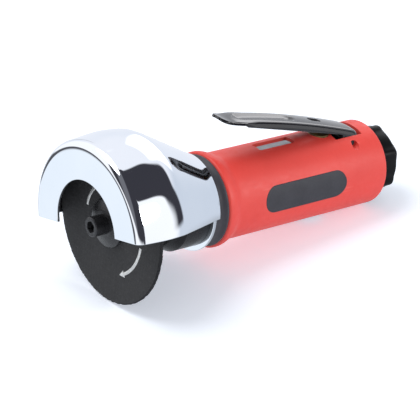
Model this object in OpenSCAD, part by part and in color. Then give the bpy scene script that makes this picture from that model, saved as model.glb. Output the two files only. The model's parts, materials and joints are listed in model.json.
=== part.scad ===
// Compact in-line pneumatic cut-off tool. Millimetres.
// The origin is the centre of the air inlet's mouth. +X leaves the inlet, so the wheel is at the -X end,
// and +Z is the throttle lever's side.

/* [Cutting wheel] */
// Diameter of the abrasive wheel
wheel_d = 76.2; // [64:0.2:90]
// Thickness of the abrasive wheel
wheel_t = 1.8; // [1:0.1:3]
// Diameter of the wheel's centre hole
wheel_bore_d = 9.6; // [9:0.05:11]
// Diameter of the two clamping flanges
flange_d = 22.4; // [18:0.2:28]
// Thickness of the outer flange
outer_flange_t = 3.4; // [2:0.1:5]
// Thickness of the inner flange behind the wheel
inner_flange_t = 5; // [3:0.1:8]
// Diameter of the wheel screw's head
screw_head_d = 9.4; // [8:0.1:11]
// Height of the wheel screw's head
screw_head_h = 7; // [5:0.1:9]
// Diameter of the wheel screw's thread
screw_d = 6; // [5:0.1:6.4]
// Length of the wheel screw under its head
screw_len = 18; // [14:0.5:24]
// Width across the flats of the screw's hexagon socket
screw_socket = 5; // [4:0.1:5.5]

/* [Guard] */
// Wall of the guard
guard_wall = 1.4; // [1:0.1:2]
// Radial gap between the wheel's edge and the guard
guard_gap = 0.6; // [0.4:0.1:3]
// Radius of the opening in the guard's front plate
guard_mouth_r = 22.1; // [16:0.1:26]
// Distance of the guard's front plate ahead of the wheel
guard_reach = 13.2; // [12:0.1:18]
// Depth of the hood's top behind the wheel's front face
hood_depth = 11; // [8:0.1:13]
// Depth of the hood's straight sides behind the wheel's front face
side_depth = 2.5; // [2.2:0.1:6]
// Rounding between the front plate and the hood
hood_round = 3.8; // [2:0.1:6]
// Height of the funnel's ridge end above the spindle axis
funnel_rise = 2.4; // [1.5:0.1:8]
// Turn of the guard towards the far side
guard_turn = 13.4; // [-30:0.1:30]
// Slope of the guard's lower edge, falling to the rear
guard_edge_slope = 3.4; // [0:0.1:5]
// Depth of the guard's lower edge under the axis at the front plate
guard_edge_drop = 0.9; // [0:0.1:3]
// Outer diameter of the guard's clamp band
band_d = 44.4; // [43.4:0.1:46]
// Width of the guard's clamp band
band_w = 1.8; // [1.4:0.1:4]
// Length of the guard's collar over the front collar
guard_overlap = 2.6; // [1:0.1:4]
// Diameter of the guard's clamp screw
clamp_screw_d = 4; // [3:0.1:5]

/* [Nose and sleeve] */
// Diameter of the nose housing
nose_d = 39.4; // [38:0.1:40]
// Length of the nose housing in front of the collar
nose_len = 19.9; // [17:0.1:26]
// Length of the nose's conical front
nose_cone = 5; // [3:0.1:7]
// Bare spindle between the inner flange and the nose
spindle_neck = 17.7; // [14:0.1:22]
// Diameter of the grey front collar
collar_d = 40.8; // [39:0.1:41.2]
// Length of the grey front collar
collar_len = 6.1; // [5:0.1:8]
// Diameter of the grip sleeve
sleeve_d = 41.6; // [41:0.1:46]
// Wall of the grip sleeve
sleeve_wall = 2.8; // [2.2:0.1:3]
// Length of the grip sleeve
sleeve_len = 100.5; // [99:0.1:112]
// Diameter of the sleeve's front lip
lip_d = 45.6; // [44:0.1:48]
// Length of the sleeve's front lip
lip_len = 3.6; // [2:0.1:6]
// Length of the fillet behind the lip
lip_fillet = 5.5; // [3:0.1:8]
// Length of the window in the sleeve's top
window_len = 21; // [12:0.5:26]
// Width of the window in the sleeve's top
window_w = 6.6; // [4:0.1:9]
// Length of a side badge
badge_len = 50; // [30:0.5:60]
// Height of a side badge
badge_h = 13; // [8:0.1:16]
// Thickness of a side badge
badge_t = 0.9; // [0.6:0.1:1.4]

/* [Air motor] */
// Wall of the motor housing
housing_wall = 2.4; // [2.2:0.1:2.6]
// Length of the cylinder liner
liner_len = 38; // [30:0.5:40]
// Least wall of the cylinder liner
liner_wall = 1.7; // [1.2:0.1:2]
// Offset of the liner's bore below the spindle axis
eccentricity = 1.4; // [0.8:0.1:1.6]
// Thickness of a vane
vane_t = 1.6; // [1:0.1:2]
// Depth of a vane slot
vane_depth = 5; // [3:0.1:5.2]
// Wall of an end plate next to the rotor
end_wall = 3; // [2.5:0.1:4]
// Bore of the front bearing
front_bore_d = 10; // [9.6:0.1:11]
// Outside diameter of the front bearing
front_od = 26; // [25:0.1:27]
// Width of the front bearing
front_w = 8; // [7:0.1:9]
// Bore of the rear bearing
rear_bore_d = 8; // [7:0.1:9]
// Outside diameter of the rear bearing
rear_od = 22; // [21:0.1:23]
// Width of the rear bearing
rear_w = 7; // [6:0.1:8]
// Depth of the nose's spigot in the motor housing
spigot_len = 8; // [5:0.1:10]
// Wall of the nose's spigot
spigot_wall = 1.05; // [0.8:0.05:1.2]

/* [Throttle] */
// Distance of the lever's pivot ahead of the sleeve's rear end
pivot_inset = 16; // [14:0.1:20]
// Depth of the lever's pivot under the sleeve's top
pivot_depth = 4.2; // [3.8:0.1:4.6]
// Diameter of the lever's pivot pin
pin_d = 3; // [2.5:0.1:3.4]
// Length of the lever's pivot pin
pin_len = 20; // [18.5:0.1:21]
// Distance from the pivot to the valve's axis
lever_arm = 13.5; // [12:0.1:15]
// Slope of the lever at rest
lever_slope = 14.6; // [13:0.1:18]
// Height of the lever's web over the pivot
lever_rise = 4.7; // [4.5:0.1:6]
// Width of the lever
lever_w = 15; // [14:0.1:16]
// Thickness of the lever's sheet
lever_t = 1.5; // [1:0.1:1.8]
// Depth of the lever's side flanges, over its web
flange_depth = 3.2; // [2.4:0.1:3.4]
// Length of the lever's flanges ahead of the pivot
flange_reach = 68.5; // [60:0.5:74]
// Length of the flat tongue ahead of the flanges
tongue_len = 6; // [4:0.5:16]
// Length of the turned-up tip
tip_len = 7.5; // [6:0.5:14]
// Angle of the turned-up tip to the web
tip_angle = 5; // [5:0.5:20]
// Drop of the lever's arched sheet from its crest to the front end of its flanges
lever_bow = 1.7; // [1:0.1:2]
// Round at the corners of the lever's front end
tip_round = 3.4; // [2:0.1:5]
// Diameter of the valve plunger's stem
stem_d = 4; // [3:0.1:4.4]
// Diameter of the valve bush
bush_d = 10; // [9.6:0.1:10.4]
// Diameter of the valve plunger's head
head_d = 8; // [7.6:0.1:8.6]
// Thickness of the valve plunger's head
head_t = 3.4; // [2:0.1:4]
// Height of the valve seat's lower face over the axis
seat_z = 6.3; // [6:0.1:7]
// Thickness of the valve seat
seat_t = 2.5; // [1.5:0.1:3]
// Diameter of the valve plug under the sleeve
plug_d = 12; // [11.6:0.1:13]
// Length of the valve plug
plug_len = 7; // [5.5:0.1:8]
// Wire diameter of the valve spring
spring_wire = 0.9; // [0.6:0.05:1]
// Diameter of the valve spring, wire centre to wire centre
spring_d = 6.4; // [6:0.1:6.8]
// Turns of the valve spring
spring_turns = 7; // [4:1:8]

/* [Inlet and exhaust] */
// Diameter of the air inlet's threaded hole
inlet_d = 11.3; // [9:0.1:12]
// Depth of the air inlet's threaded hole
inlet_depth = 13; // [10:0.1:14]
// Width across the flats of the inlet bushing's hexagon
inlet_hex = 16; // [15:0.1:16.4]
// Diameter of the inlet bushing's hub
hub_d = 19; // [18.8:0.1:20]
// Diameter of the inlet bushing's thread in the housing
inlet_thread_d = 16; // [15:0.1:17]
// Length of the inlet bushing's thread in the housing
inlet_thread_len = 12; // [9:0.1:13]
// Length of the inlet bushing behind the deflector
inlet_stub = 6.5; // [5:0.1:9]
// Diameter of the exhaust deflector over its lobes
deflector_d = 34.4; // [33:0.1:36]
// Length of the exhaust deflector
deflector_len = 11.5; // [10:0.1:15]
// Wall of the exhaust deflector
deflector_wall = 2; // [1.5:0.1:2.4]
// Number of lobes round the exhaust deflector
lobe_count = 6; // [5:1:7]

/* [Hidden] */
$fn = 96;

// Clearances
slip = 0.02;            // seated pieces of one body
run = 0.05;             // running fits
free = 0.3;             // moving pieces that never touch
eps = 1;                // overlap of cutting tools past a face

// Stations along the tool, from the inlet's mouth to the wheel
x_deflector_rear = -inlet_stub;
x_sleeve_rear = x_deflector_rear - deflector_len - free;
x_sleeve = x_sleeve_rear - sleeve_len;
x_collar = x_sleeve - collar_len;
x_nose = x_collar - nose_len;
x_flange = x_nose - spindle_neck - inner_flange_t;
x_wheel = x_flange - wheel_t;

// Radii of the shells, one inside the other
sleeve_r = sleeve_d / 2;
sleeve_bore_r = sleeve_r - sleeve_wall;
housing_r = sleeve_bore_r - run;
motor_bore_r = housing_r - housing_wall;
motor_r = motor_bore_r - slip;
spigot_r = motor_bore_r + spigot_wall;
nose_r = nose_d / 2;

// Air motor, counted back from the nose's rear face
x_liner = x_collar + front_w + end_wall;
x_rear_plate = x_liner + liner_len;
x_rear_bearing = x_rear_plate + end_wall;
x_motor_end = x_rear_bearing + rear_w;
washer_t = 1.2;
x_block = x_motor_end + washer_t;
x_block_rear = x_sleeve_rear - 0.4;
liner_bore_r = motor_r - liner_wall - eccentricity;
rotor_gap = 0.1;
rotor_r = liner_bore_r - eccentricity - rotor_gap;
rotor_end_gap = 0.15;
vane_count = 4;
front_r = front_bore_d / 2;
rear_r = rear_bore_d / 2;
spindle_tip_r = 4;

// Bearing proportions, as shares of the space between bore and outside
race_share = 0.26;
ball_share = 0.3;
ball_count = 7;

// Throttle
x_pivot = x_sleeve_rear - pivot_inset;
z_pivot = sleeve_r - pivot_depth;
x_valve = x_pivot - lever_arm;
ear_r = 3.4;
ear_reach = 5;
lever_tail = 6;
pocket_front = 9;
web_top = lever_rise + lever_t;
crest_x = -0.41 * flange_reach;
bow_r = pow(flange_reach + crest_x, 2) / (2 * lever_bow);
press_x = -(lever_arm + lever_rise * sin(lever_slope)) / cos(lever_slope);
crest_top = web_top + 0.1 + pow(press_x - crest_x, 2) / (2 * bow_r);
tail_x = lever_tail * cos(lever_slope) + web_top * sin(lever_slope);
tail_gap = 0.4;
pocket_w = lever_w + 1;
z_web = z_pivot + lever_rise / cos(lever_slope) + lever_arm * tan(lever_slope);
z_stem = z_web - free;
z_bush = sleeve_r + 0.2;
chamber_h = 6;
z_chamber = seat_z + seat_t;
z_guide = z_chamber + chamber_h;
feed_r = 1.2;
feed_gap = 3.1;
z_feed = z_guide - 1.6;
plug_r = plug_d / 2;
z_plug = -sleeve_r + 0.3;
z_spring = z_plug + plug_len;
seal_t = 0.8;
z_head = seat_z - seal_t;
valve_bore_r = bush_d / 2 + 0.45;
passage_r = 5;

// Guard
guard_r = wheel_d / 2 + guard_gap + guard_wall;
x_guard = x_wheel - guard_reach;
x_hood = x_wheel + hood_depth;
x_side = x_wheel + side_depth;
x_band = x_collar - band_w - 0.2;
x_guard_rear = x_collar + guard_overlap;
neck_bore_r = collar_d / 2 + free;
neck_r = neck_bore_r + guard_wall;
band_r = band_d / 2;
clamp_head_d = 1.8 * clamp_screw_d;
funnel_slope = (guard_r - neck_r) / (x_guard_rear - x_side);

// Exhaust
hub_r = hub_d / 2;
lobe_r = 3;
x_deflector = x_sleeve_rear + free;
ring_t = 1.2;

// Shared shapes

// A rod along the tool
module rod(r, x0, x1) {
    translate([x0, 0, 0])
        rotate([0, 90, 0])
            cylinder(r = r, h = x1 - x0);
}

// A tube along the tool
module tube(r_out, r_in, x0, x1) {
    difference() {
        rod(r_out, x0, x1);
        rod(r_in, x0 - eps, x1 + eps);
    }
}

// A turned solid along the tool, from an outline of [radius, x] points
module turned(outline) {
    rotate([0, 90, 0])
        rotate_extrude()
            polygon(outline);
}

// An upright rod on the valve's axis
module post(r, z0, z1) {
    translate([x_valve, 0, z0])
        cylinder(r = r, h = z1 - z0);
}

// An upright tube on the valve's axis
module sleeve_post(r_out, r_in, z0, z1) {
    difference() {
        post(r_out, z0, z1);
        post(r_in, z0 - eps, z1 + eps);
    }
}

// A slot with round ends, lying along the tool and extruded up
module slot(length, width, height) {
    side = (length - width) / 2;
    linear_extrude(height) {
        square([2 * side, width], center = true);
        for (s = [-1, 1])
            translate([s * side, 0])
                circle(d = width);
    }
}

// Points of a quarter round in [radius, x], swept from angle a to angle b
function arc(r, x, size, a, b, steps = 8) =
    [for (i = [0:steps]) let (t = a + (b - a) * i / steps) [r + size * cos(t), x + size * sin(t)]];

// One race of a ball bearing
module race(r_in, r_out, pitch_r, ball_r, x0, width) {
    difference() {
        tube(r_out, r_in, x0, x0 + width);
        translate([x0 + width / 2, 0, 0])
            rotate([0, 90, 0])
                rotate_extrude()
                    translate([pitch_r, 0])
                        circle(r = ball_r + run);
    }
}

// The balls of a bearing
module balls(pitch_r, ball_r, x) {
    for (i = [0:ball_count - 1])
        rotate([i * 360 / ball_count, 0, 0])
            translate([x, 0, pitch_r])
                sphere(r = ball_r);
}

// Wheel and clamping pieces

module cutting_wheel() {
    color("#3a3a3c")
        tube(wheel_d / 2, wheel_bore_d / 2, x_wheel, x_flange);
}

module wheel_screw() {
    socket_depth = 0.5 * screw_head_h;
    x_head = x_wheel - outer_flange_t;
    color("#1c1c1f")
        difference() {
            union() {
                rod(screw_head_d / 2, x_head - screw_head_h, x_head);
                rod(screw_d / 2, x_head - eps, x_head + screw_len);
            }
            translate([x_head - screw_head_h - eps, 0, 0])
                rotate([0, 90, 0])
                    cylinder(d = screw_socket / cos(30), h = socket_depth + eps, $fn = 6);
        }
}

module outer_flange() {
    rim_t = 0.6 * outer_flange_t;
    boss_r = screw_head_d / 2 + 1.5;
    color("#2a2a2d")
        turned([[screw_d / 2 + slip, x_wheel], [flange_d / 2, x_wheel], [flange_d / 2, x_wheel - rim_t],
            [boss_r, x_wheel - outer_flange_t], [screw_d / 2 + slip, x_wheel - outer_flange_t]]);
}

module inner_flange() {
    pilot_len = wheel_t - 0.2;
    bore_r = spindle_tip_r + slip;
    pilot_r = wheel_bore_d / 2 - run;
    color("#2a2a2d")
        turned([[bore_r, x_flange - pilot_len], [pilot_r, x_flange - pilot_len], [pilot_r, x_flange],
            [flange_d / 2, x_flange], [flange_d / 2, x_flange + inner_flange_t / 2],
            [front_r + 3, x_flange + inner_flange_t], [bore_r, x_flange + inner_flange_t]]);
}

// Air motor

module rotor() {
    x_tip = x_flange - wheel_t + 0.4;
    x_shoulder = x_flange + inner_flange_t;
    x_screw_end = x_wheel - outer_flange_t + screw_len + 1;
    x_body = x_liner + rotor_end_gap;
    x_body_end = x_rear_plate - rotor_end_gap;
    hub_step = 1;
    color("#8f9297")
        difference() {
            turned([[0, x_tip], [spindle_tip_r, x_tip], [spindle_tip_r, x_shoulder], [front_r, x_shoulder],
                [front_r, x_liner - end_wall], [front_r + hub_step, x_liner - end_wall],
                [front_r + hub_step, x_body], [rotor_r, x_body], [rotor_r, x_body_end],
                [rear_r + hub_step, x_body_end], [rear_r + hub_step, x_rear_bearing],
                [rear_r, x_rear_bearing], [rear_r, x_motor_end], [0, x_motor_end]]);
            rod(screw_d / 2 + slip, x_tip - eps, x_screw_end);
            for (i = [0:vane_count - 1])
                rotate([i * 360 / vane_count, 0, 0])
                    translate([x_body - eps, -vane_t / 2 - slip, rotor_r - vane_depth])
                        cube([x_body_end - x_body + 2 * eps, vane_t + 2 * slip, vane_depth + eps]);
        }
}

module rotor_vanes() {
    tip_gap = 0.2;
    x0 = x_liner + rotor_end_gap;
    length = liner_len - 2 * rotor_end_gap;
    color("#5b4a36")
        for (i = [0:vane_count - 1])
            rotate([i * 360 / vane_count, 0, 0])
                translate([x0, -vane_t / 2, rotor_r - vane_depth])
                    cube([length, vane_t, vane_depth - tip_gap]);
}

// The dowel that keys the liner to the rear end plate
dowel_r = 0.9;
dowel_len = 2 * end_wall;
dowel_angle = 50;
module dowel_shape(r, length) {
    radius = motor_r - dowel_r - 1.2;
    rotate([dowel_angle, 0, 0])
        translate([0, 0, radius])
            rod(r, x_rear_plate - length / 2, x_rear_plate + length / 2);
}

// Feed passages that bring air from the valve to the motor
module feed_holes(x0, x1) {
    for (s = [-1:1])
        translate([0, s * feed_gap, z_feed])
            rod(feed_r, x0, x1);
}

module cylinder_liner() {
    port_w = 3;
    port_len = 0.6 * liner_len;
    port_z = liner_bore_r;
    color("#a3a6ab")
        difference() {
            rod(motor_r, x_liner, x_rear_plate);
            translate([0, 0, -eccentricity])
                rod(liner_bore_r, x_liner - eps, x_rear_plate + eps);
            for (s = [-1, 1])
                translate([x_liner + liner_len / 2, s * port_w, -port_z])
                    mirror([0, 0, 1])
                        slot(port_len, port_w, motor_r);
            feed_holes(x_rear_plate - liner_len / 2, x_rear_plate + eps);
            dowel_shape(dowel_r + slip, dowel_len);
        }
}

module front_end_plate() {
    color("#7d8086")
        difference() {
            rod(motor_r, x_collar, x_liner);
            rod(front_od / 2 + slip, x_collar - eps, x_collar + front_w);
            rod(front_r + 1 + free, x_collar, x_liner + eps);
        }
}

module rear_end_plate() {
    color("#7d8086")
        difference() {
            rod(motor_r, x_rear_plate, x_motor_end);
            rod(rear_od / 2 + slip, x_rear_bearing, x_motor_end + eps);
            rod(rear_r + 1 + free, x_rear_plate - eps, x_motor_end);
            feed_holes(x_rear_plate - eps, x_motor_end + eps);
            dowel_shape(dowel_r + slip, dowel_len);
        }
}

module liner_dowel() {
    color("#b5b7bb")
        dowel_shape(dowel_r, dowel_len - 0.2);
}

// Bearing sizes
front_space = front_od / 2 - front_r;
front_pitch = (front_od / 2 + front_r) / 2;
front_ball_r = ball_share * front_space;
rear_space = rear_od / 2 - rear_r;
rear_pitch = (rear_od / 2 + rear_r) / 2;
rear_ball_r = ball_share * rear_space;

module front_outer_race() {
    r_out = front_od / 2;
    r_in = r_out - race_share * front_space;
    color("#c4c6ca")
        race(r_in, r_out, front_pitch, front_ball_r, x_collar, front_w);
}

module front_inner_race() {
    r_in = front_r + slip;
    r_out = front_r + race_share * front_space;
    color("#c4c6ca")
        race(r_in, r_out, front_pitch, front_ball_r, x_collar, front_w);
}

module front_balls() {
    color("#dcdde0")
        balls(front_pitch, front_ball_r, x_collar + front_w / 2);
}

module rear_outer_race() {
    r_out = rear_od / 2;
    r_in = r_out - race_share * rear_space;
    color("#c4c6ca")
        race(r_in, r_out, rear_pitch, rear_ball_r, x_rear_bearing, rear_w);
}

module rear_inner_race() {
    r_in = rear_r + slip;
    r_out = rear_r + race_share * rear_space;
    color("#c4c6ca")
        race(r_in, r_out, rear_pitch, rear_ball_r, x_rear_bearing, rear_w);
}

module rear_balls() {
    color("#dcdde0")
        balls(rear_pitch, rear_ball_r, x_rear_bearing + rear_w / 2);
}

// Loads the rear bearing's outer race against the housing's inner wall
module bearing_washer() {
    r_in = rear_od / 2 - race_share * rear_space;
    color("#9a9da3")
        tube(rear_od / 2, r_in, x_motor_end, x_block);
}

// Shells

nose_wall = 4;
seal_len = 3;
seal_r = front_od / 2 - 2;

module dust_seal() {
    x_seal = x_nose + nose_wall;
    color("#77716a")
        tube(seal_r, front_r + run, x_seal, x_seal + seal_len);
}

module nose_housing() {
    x_step = x_nose + nose_wall;
    front_hole_r = front_r + 1.5;
    cone_r = nose_r - 3;
    color("#2f3034")
        turned([[front_hole_r, x_nose], [cone_r, x_nose], [nose_r, x_nose + nose_cone], [nose_r, x_collar],
            [spigot_r, x_collar], [spigot_r, x_sleeve + spigot_len], [motor_bore_r, x_sleeve + spigot_len],
            [motor_bore_r, x_collar], [seal_r + slip, x_collar], [seal_r + slip, x_step],
            [front_hole_r, x_step]]);
}

module front_collar() {
    color("#3e3c42")
        tube(collar_d / 2, spigot_r + slip, x_collar, x_sleeve);
}

// Hole that the lever's pin is pressed into
module pin_hole() {
    translate([x_pivot, 0, z_pivot])
        rotate([90, 0, 0])
            cylinder(d = pin_d + 2 * slip, h = 2 * sleeve_r, center = true);
}

module motor_housing() {
    exhaust_r = 1.8;
    exhaust_at = housing_r - 4.4;
    ear_gap = 0.6;
    color("#8d9096")
        difference() {
            rod(housing_r, x_sleeve, x_block_rear);
            rod(spigot_r + slip, x_sleeve - eps, x_sleeve + spigot_len);
            rod(motor_bore_r, x_sleeve, x_block);
            feed_holes(x_block - eps, x_valve);
            for (a = [60, 120, 240, 300])
                rotate([a, 0, 0])
                    translate([0, 0, exhaust_at])
                        rod(exhaust_r, x_block - eps, x_block_rear + eps);
            post(valve_bore_r, -housing_r - eps, z_chamber);
            post(bush_d / 2 + slip, 0, housing_r + eps);
            post(plug_r + slip, -housing_r - eps, z_spring);
            rod(passage_r, x_valve, x_block_rear);
            rod(inlet_thread_d / 2 + slip, x_block_rear - inlet_thread_len, x_block_rear + eps);
            translate([x_pivot - ear_r - ear_gap, -pocket_w / 2, z_pivot - ear_r - ear_gap])
                cube([ear_r + ear_gap + tail_x + tail_gap, pocket_w, housing_r]);
            pin_hole();
        }
}

// Outline of one side badge, drawn along the tool and raised across it
badge_z = 2.5;
badge_ahead = 51.5;
module badge_prism(grow) {
    for (s = [0, 1])
        mirror([0, s, 0])
            translate([x_sleeve_rear - badge_ahead, 0, badge_z])
                rotate([90, 0, 0])
                    slot(badge_len + 2 * grow, badge_h + 2 * grow, lip_d);
}

badge_proud = 0.15;
module side_badges() {
    r_out = sleeve_r + badge_proud;
    color("#44444c")
        intersection() {
            tube(r_out, r_out - badge_t, x_sleeve, x_sleeve_rear);
            badge_prism(0);
        }
}

module grip_sleeve() {
    lip_r = lip_d / 2;
    edge = 0.8;
    window_back = 57.7;
    x_lip = x_sleeve + lip_len;
    drop = lip_r - sleeve_r;
    badge_gap = 0.1;
    badge_floor = sleeve_r + badge_proud - badge_t;
    pin_face = pin_len / 2 + 0.3;
    mouth_d = pin_d + 0.8;
    color("#d8483c")
        difference() {
            turned(concat([[sleeve_bore_r, x_sleeve], [lip_r - edge, x_sleeve]],
                arc(lip_r - edge, x_sleeve + edge, edge, -90, 0),
                [for (i = [0:8]) [sleeve_r + drop * (1 + cos(180 * i / 8)) / 2, x_lip + lip_fillet * i / 8]],
                arc(sleeve_r - edge, x_sleeve_rear - edge, edge, 0, 90),
                [[sleeve_bore_r, x_sleeve_rear]]));
            translate([x_sleeve_rear - window_back, 0, 0])
                slot(window_len, window_w, lip_r);
            intersection() {
                tube(lip_d, badge_floor, x_sleeve - eps, x_sleeve_rear + eps);
                badge_prism(badge_gap);
            }
            post(bush_d / 2 + 0.2, 0, sleeve_r + eps);
            post(plug_r + 0.3, -sleeve_r - eps, 0);
            translate([x_pivot - pocket_front, -pocket_w / 2, 0])
                cube([pocket_front + tail_x + tail_gap, pocket_w, lip_r]);
            pin_hole();
            for (s = [0, 1])
                mirror([0, s, 0])
                    translate([x_pivot, pin_face, z_pivot])
                        rotate([-90, 0, 0])
                            cylinder(d = mouth_d, h = sleeve_r);
        }
}

// Guard

// Everything above the guard's lower edge
module above_edge() {
    size = 4 * guard_r;
    translate([x_guard, 0, -guard_edge_drop])
        rotate([0, guard_edge_slope, 0])
            translate([-size / 2, -size / 2, 0])
                cube(size);
}

// The hood's solid outline, drawn in by the given wall
module hood(inset) {
    front = hood_round - inset;
    turned(concat([[0, x_guard + inset]],
        arc(guard_r - hood_round, x_guard + hood_round, max(front, 0.5), -90, 0),
        [[guard_r - inset, x_side], [0, x_side]]));
}

// The funnel's solid outline, drawn in by the given wall and lengthened at both ends
module funnel(inset, reach) {
    neck_len = 1;
    rim_len = 0.5;
    hull() {
        rod(guard_r - inset, x_side - rim_len - reach, x_side);
        translate([0, 0, funnel_rise])
            rod(guard_r - funnel_rise - inset, x_hood - rim_len, x_hood);
        rod(neck_r - inset, x_guard_rear - neck_len, x_guard_rear + reach);
    }
}

// The web that joins the clamp band to the funnel's wall
module band_web() {
    intersection() {
        funnel(0, 0);
        rod(guard_r, x_band, x_band + band_w);
        above_edge();
    }
}

// Place of the guard's clamp screw, in a boss on the far side of the neck
screw_angle = -75;
x_screw = x_band - clamp_screw_d;
screw_seat_r = neck_r + (x_guard_rear - x_screw + clamp_head_d / 2) * funnel_slope;
module guard_screw_place() {
    rotate([screw_angle, 0, 0])
        translate([x_screw, 0, 0])
            children();
}

module guard() {
    color("#dfe5ee")
        rotate([-guard_turn, 0, 0])
            difference() {
                union() {
                    intersection() {
                        difference() {
                            union() {
                                hood(0);
                                funnel(0, 0);
                            }
                            hood(guard_wall);
                            funnel(guard_wall, eps);
                            rod(guard_mouth_r, x_guard - eps, x_hood);
                        }
                        above_edge();
                    }
                    band_web();
                    rod(band_r, x_band, x_band + band_w);
                    guard_screw_place()
                        translate([0, 0, neck_bore_r])
                            cylinder(d = clamp_head_d + 1, h = screw_seat_r - neck_bore_r);
                }
                rod(nose_r + run, x_band - 2 * eps, x_band + band_w);
                rod(neck_bore_r, x_band + band_w, x_guard_rear + eps);
                guard_screw_place() {
                    cylinder(d = clamp_screw_d + 2 * slip, h = guard_r);
                    translate([0, 0, screw_seat_r])
                        cylinder(d = clamp_head_d + 0.4, h = guard_r);
                }
            }
}

module guard_screw() {
    head_h = 2.2;
    tip_r = nose_r + run;
    color("#2a2a2d")
        rotate([-guard_turn, 0, 0])
            guard_screw_place()
                difference() {
                    union() {
                        translate([0, 0, tip_r])
                            cylinder(d = clamp_screw_d, h = screw_seat_r - tip_r + head_h / 2);
                        translate([0, 0, screw_seat_r])
                            cylinder(d = clamp_head_d, h = head_h);
                    }
                    translate([0, 0, screw_seat_r + 0.4 * head_h])
                        cylinder(d = 0.75 * clamp_screw_d, h = head_h, $fn = 6);
                }
}

// Throttle

// Places a shape drawn level about the pivot at the lever's rest slope
module at_lever() {
    translate([x_pivot, 0, z_pivot])
        rotate([0, lever_slope, 0])
            children();
}

// Extrudes a side outline of [along, up] points across the lever
module across(y0, y1) {
    translate([0, y1, 0])
        rotate([90, 0, 0])
            linear_extrude(y1 - y0)
                children();
}

// Broad drum whose rim is the lever's arched top, drawn in by an inset
module arch(inset) {
    translate([crest_x, 0, crest_top - bow_r])
        rotate([90, 0, 0])
            cylinder(r = bow_r - inset, h = 4 * lever_w, center = true, $fn = 720);
}

module throttle_lever() {
    half = lever_w / 2;
    base = web_top - flange_depth;
    x_flange_end = -flange_reach;
    x_tongue = x_flange_end - tongue_len;
    tongue_top = crest_top - lever_bow;
    tongue_low = tongue_top - lever_t;
    front_base = base - 0.7;
    flange_rake = 1.6;
    tip_x = x_tongue - tip_len * cos(tip_angle);
    tip_z = tip_len * sin(tip_angle);
    dish_len = 36;
    dish_w = 8;
    dish_depth = 0.6;
    dish_at = -53;
    hole_len = 8;
    hole_w = 4;
    hole_at = -19.8;
    tall = 4 * web_top;
    color("#2b2c31")
        at_lever()
            difference() {
                union() {
                    difference() {
                        intersection() {
                            arch(0);
                            translate([x_flange_end, -half, 0])
                                cube([flange_reach + lever_tail, lever_w, tall]);
                        }
                        arch(lever_t);
                    }
                    across(-half, half)
                        polygon([[x_flange_end + 0.1, tongue_low], [x_flange_end + 0.1, tongue_top],
                            [x_tongue, tongue_top], [tip_x, tongue_top + tip_z],
                            [tip_x, tongue_low + tip_z], [x_tongue, tongue_low]]);
                    for (s = [0, 1])
                        mirror([0, s, 0]) {
                            intersection() {
                                arch(0);
                                across(half - lever_t, half)
                                    polygon([[lever_tail, tall], [x_flange_end, tall],
                                        [x_flange_end, tongue_low], [x_flange_end + flange_rake, front_base],
                                        [-ear_reach, base], [-ear_r, 0], [ear_r, 0], [lever_tail, base]]);
                            }
                            across(half - lever_t, half)
                                circle(r = ear_r);
                        }
                }
                for (s = [0, 1])
                    mirror([0, s, 0])
                        translate([tip_x + tip_round, half - tip_round, 0])
                            difference() {
                                translate([-2 * tip_round, 0, -tall])
                                    cube([2 * tip_round, 2 * tip_round, 2 * tall]);
                                cylinder(r = tip_round, h = 4 * tall, center = true);
                            }
                rotate([90, 0, 0])
                    cylinder(d = pin_d + 2 * run, h = 2 * lever_w, center = true);
                difference() {
                    translate([dish_at, 0, 0])
                        slot(dish_len, dish_w, tall);
                    arch(dish_depth);
                }
                translate([hole_at, 0, 0])
                    slot(hole_len, hole_w, tall);
            }
}

module lever_pin() {
    color("#c8a063")
        translate([x_pivot, 0, z_pivot])
            rotate([90, 0, 0])
                cylinder(d = pin_d, h = pin_len, center = true);
}

module valve_plunger() {
    r = stem_d / 2;
    color("#b98a4a")
        translate([x_valve, 0, 0])
            rotate_extrude()
                polygon(concat([[0, z_head - head_t], [head_d / 2, z_head - head_t], [head_d / 2, z_head],
                    [r, z_head]], arc(0, z_stem - r, r, 0, 90)));
}

module valve_seal() {
    color("#1a1a1a")
        sleeve_post(head_d / 2, stem_d / 2 + slip, z_head, seat_z);
}

module valve_seat() {
    seat_bore_r = stem_d / 2 + 0.9;
    color("#c09a55")
        sleeve_post(valve_bore_r - slip, seat_bore_r, seat_z, z_chamber);
}

module valve_bush() {
    color("#a8823f")
        sleeve_post(bush_d / 2, stem_d / 2 + run, z_guide, z_bush);
}

// A coil of round wire, as one closed tube swept up a helix
module coil(radius, wire_r, turns, height) {
    per_turn = 16;
    sides = 8;
    rings = turns * per_turn;
    points = [for (i = [0:rings], k = [0:sides - 1])
        let (a = 360 * i / per_turn, b = 360 * k / sides, r = radius + wire_r * cos(b))
        [r * cos(a), r * sin(a), height * i / rings + wire_r * sin(b)]];
    walls = [for (i = [0:rings - 1], k = [0:sides - 1])
        let (p = i * sides + k, q = i * sides + (k + 1) % sides)
        each [[p, p + sides, q], [q, p + sides, q + sides]]];
    last = rings * sides;
    start_cap = [for (k = [1:sides - 2]) [0, k, k + 1]];
    end_cap = [for (k = [1:sides - 2]) [last, last + k + 1, last + k]];
    polyhedron(points, concat(walls, start_cap, end_cap));
}

module valve_spring() {
    wire_r = spring_wire / 2;
    height = z_head - head_t - z_spring - spring_wire;
    color("#b5b7bb")
        translate([x_valve, 0, z_spring + wire_r])
            coil(spring_d / 2, wire_r, spring_turns, height);
}

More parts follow.
